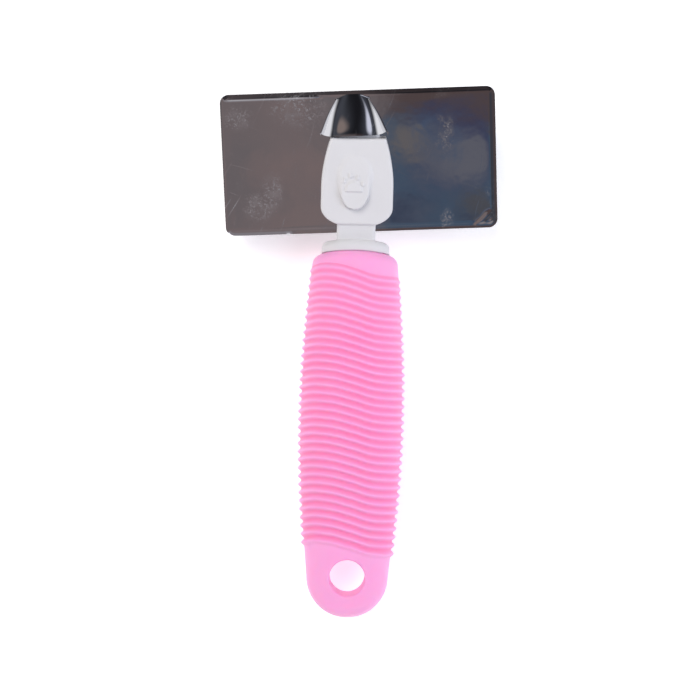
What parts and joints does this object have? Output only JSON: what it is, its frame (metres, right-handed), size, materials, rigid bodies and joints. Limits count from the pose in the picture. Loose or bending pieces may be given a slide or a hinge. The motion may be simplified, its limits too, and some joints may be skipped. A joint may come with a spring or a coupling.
{
  "type": "slicker brush",
  "caption": "Pet slicker brush: chromed steel tray head with hooked wire pins in a cushioned rubber fillet, and a wave-ribbed rubber grip with a hanging hole.",
  "frame": {"origin": "middle of the brush's bounding box, on the surface that it lies on with its back up", "axes": "+Y along the handle from the hanging hole to the head, +X across, +Z out of the back of the head"},
  "size_m": [0.0952, 0.1818, 0.0303],
  "materials": {
    "chrome_plate": "bright chrome plate with fine scratches",
    "foam": "open-cell cushion foam",
    "fillet_cloth": "woven rubber cloth",
    "pin_wire": "drawn steel wire",
    "screw_zinc": "zinc plate",
    "white_plastic": "satin moulded polypropylene",
    "pink_rubber": "soft matt thermoplastic rubber"
  },
  "bodies": {
    "brush_body": {"head_shell": "chrome_plate", "foam_cushion": "foam", "neck_screw_1": "screw_zinc", "neck_screw_2": "screw_zinc", "handle_core": "white_plastic", "grip_sleeve": "pink_rubber"},
    "pin_pad": {"pin_fillet": "fillet_cloth", "pin_row_01": "pin_wire", "pin_row_02": "pin_wire", "pin_row_03": "pin_wire", "pin_row_04": "pin_wire", "pin_row_05": "pin_wire", "pin_row_06": "pin_wire", "pin_row_07": "pin_wire", "pin_row_08": "pin_wire", "pin_row_09": "pin_wire", "pin_row_10": "pin_wire"}
  },
  "joints": [
    {"name": "pin_pad_press", "type": "slide", "parent": "brush_body", "child": "pin_pad", "axis": [0, -0.2079, 0.9781], "range_m": [0, 0.0015], "stiffness_N_per_m": 2500, "deforming": ["foam_cushion"]}
  ]
}
